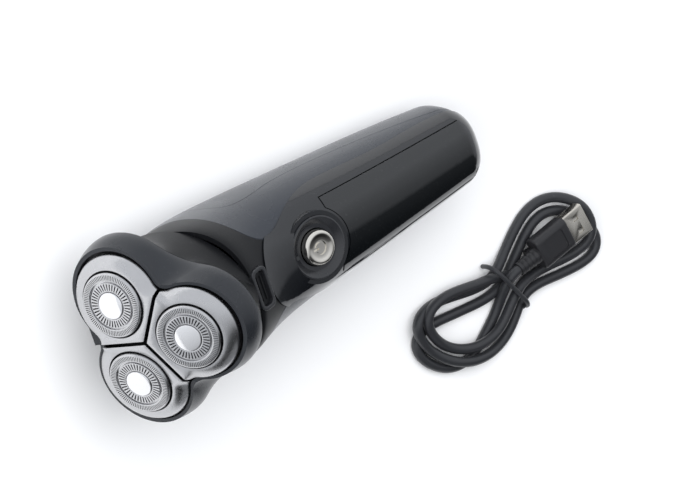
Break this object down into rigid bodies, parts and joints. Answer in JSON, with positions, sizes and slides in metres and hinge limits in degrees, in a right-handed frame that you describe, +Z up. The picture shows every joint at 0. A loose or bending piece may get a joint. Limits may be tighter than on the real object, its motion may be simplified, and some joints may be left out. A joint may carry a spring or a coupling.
{
  "type": "rotary electric shaver",
  "caption": "Rotary shaver with three floating cutters on a hinged head, a curved handle with a sprung button, and a tied charging lead.",
  "frame": {"origin": "middle of the flat rest face on the back of the handle", "axes": "+X across the shaver, +Y from the head to the tail, +Z up out of the front, through the button"},
  "size_m": [0.1241, 0.2247, 0.0791],
  "materials": {
    "gloss_shell": "high gloss",
    "gloss_panel": "mirror gloss",
    "neck_plastic": "satin",
    "dish_plastic": "satin",
    "light_guide": "clear",
    "inner_plastic": "moulded",
    "cell_sleeve": "shrink sleeve",
    "board": "solder mask",
    "screw_steel": "plain",
    "contact_brass": "plain",
    "motor_steel": "plain",
    "seal_rubber": "soft",
    "button_chrome": "polished",
    "gear_plastic": "natural acetal",
    "satin_plate": "satin silver",
    "foil_steel": "fine turned",
    "cap_mirror": "mirror",
    "cutter_steel": "ground",
    "cord_rubber": "soft satin",
    "plug_plastic": "moulded",
    "plug_steel": "nickel"
  },
  "bodies": {
    "handle": {"back_shell": "gloss_shell", "side_band": "gloss_shell", "neck_shell": "neck_plastic", "front_panel": "gloss_panel", "panel_strip": "gloss_panel", "button_ring": "dish_plastic", "status_led": "light_guide", "handle_tray": "inner_plastic", "battery_cell": "cell_sleeve", "circuit_board": "board", "push_switch": "inner_plastic", "tray_screws": "screw_steel", "charging_socket": "inner_plastic", "socket_pins": "contact_brass", "motor_can": "motor_steel", "head_base": "neck_plastic", "hinge_pin": "screw_steel", "gear_cover": "inner_plastic", "neck_seal": "seal_rubber", "release_bezel": "dish_plastic"},
    "power_button": {"power_button": "button_chrome"},
    "release_button": {"release_button": "neck_plastic"},
    "motor_rotor": {"motor_rotor": "motor_steel", "drive_pinion": "contact_brass"},
    "head_frame": {"head_rim": "gloss_shell", "unit_carrier": "inner_plastic"},
    "cable": {"cable_hank": "cord_rubber", "cable_tie": "cord_rubber", "usb_relief": "cord_rubber", "usb_plug": "plug_plastic", "usb_shell": "plug_steel", "small_relief": "cord_rubber", "small_plug": "plug_plastic"},
    "gear_a": {"drive_gear_a": "gear_plastic", "spindle_a": "gear_plastic"},
    "unit_a": {"plate_a": "satin_plate", "foil_a": "foil_steel", "cap_a": "cap_mirror", "retainer_a": "inner_plastic"},
    "cutter_a": {"cutter_a": "cutter_steel"},
    "gear_b": {"drive_gear_b": "gear_plastic", "spindle_b": "gear_plastic"},
    "unit_b": {"plate_b": "satin_plate", "foil_b": "foil_steel", "cap_b": "cap_mirror", "retainer_b": "inner_plastic"},
    "cutter_b": {"cutter_b": "cutter_steel"},
    "gear_c": {"drive_gear_c": "gear_plastic", "spindle_c": "gear_plastic"},
    "unit_c": {"plate_c": "satin_plate", "foil_c": "foil_steel", "cap_c": "cap_mirror", "retainer_c": "inner_plastic"},
    "cutter_c": {"cutter_c": "cutter_steel"}
  },
  "joints": [
    {"name": "power_press", "type": "slide", "parent": "handle", "child": "power_button", "axis": [0, 0.0698, 0.9976], "range_m": [-0.001, 0], "stiffness_N_per_m": 900},
    {"name": "release_press", "type": "slide", "parent": "handle", "child": "release_button", "axis": [0, 0.33, 0.944], "range_m": [-0.0012, 0], "stiffness_N_per_m": 900},
    {"name": "motor_spin", "type": "hinge", "parent": "handle", "child": "motor_rotor", "pos_m": [0, -0.06576, 0.03746], "axis": [0, -0.8746, 0.4848], "continuous": true},
    {"name": "head_open", "type": "hinge", "parent": "handle", "child": "head_frame", "pos_m": [0, -0.08975, 0.01851], "axis": [1, 0, 0], "range_deg": [0, 100]},
    {"name": "cable_lift", "type": "slide", "parent": "handle", "child": "cable", "axis": [0, 0, 1], "range_m": [0, 0.05]},
    {"name": "gear_a_spin", "type": "hinge", "parent": "handle", "child": "gear_a", "pos_m": [-0.01351, -0.07479, 0.03354], "axis": [0, -0.8746, 0.4848], "continuous": true},
    {"name": "unit_a_float", "type": "slide", "parent": "head_frame", "child": "unit_a", "axis": [-0.1055, -0.8976, 0.4279], "range_m": [-0.0015, 0], "stiffness_N_per_m": 700},
    {"name": "cutter_a_spin", "type": "hinge", "parent": "unit_a", "child": "cutter_a", "pos_m": [-0.0145, -0.09606, 0.04468], "axis": [-0.1055, -0.8976, 0.4279], "continuous": true},
    {"name": "gear_b_spin", "type": "hinge", "parent": "handle", "child": "gear_b", "pos_m": [0, -0.06345, 0.05401], "axis": [0, -0.8746, 0.4848], "continuous": true},
    {"name": "unit_b_float", "type": "slide", "parent": "head_frame", "child": "unit_b", "axis": [0, -0.809, 0.5878], "range_m": [-0.0015, 0], "stiffness_N_per_m": 700},
    {"name": "cutter_b_spin", "type": "hinge", "parent": "unit_b", "child": "cutter_b", "pos_m": [0, -0.08388, 0.06664], "axis": [0, -0.809, 0.5878], "continuous": true},
    {"name": "gear_c_spin", "type": "hinge", "parent": "handle", "child": "gear_c", "pos_m": [0.01351, -0.07479, 0.03354], "axis": [0, -0.8746, 0.4848], "continuous": true},
    {"name": "unit_c_float", "type": "slide", "parent": "head_frame", "child": "unit_c", "axis": [0.1055, -0.8976, 0.4279], "range_m": [-0.0015, 0], "stiffness_N_per_m": 700},
    {"name": "cutter_c_spin", "type": "hinge", "parent": "unit_c", "child": "cutter_c", "pos_m": [0.0145, -0.09606, 0.04468], "axis": [0.1055, -0.8976, 0.4279], "continuous": true}
  ],
  "couplings": [
    {"joint": "gear_a_spin", "follows": "motor_spin", "ratio": -0.53571},
    {"joint": "cutter_a_spin", "follows": "motor_spin", "ratio": -0.53571},
    {"joint": "gear_b_spin", "follows": "motor_spin", "ratio": -0.53571},
    {"joint": "cutter_b_spin", "follows": "motor_spin", "ratio": -0.53571},
    {"joint": "gear_c_spin", "follows": "motor_spin", "ratio": -0.53571},
    {"joint": "cutter_c_spin", "follows": "motor_spin", "ratio": -0.53571}
  ]
}
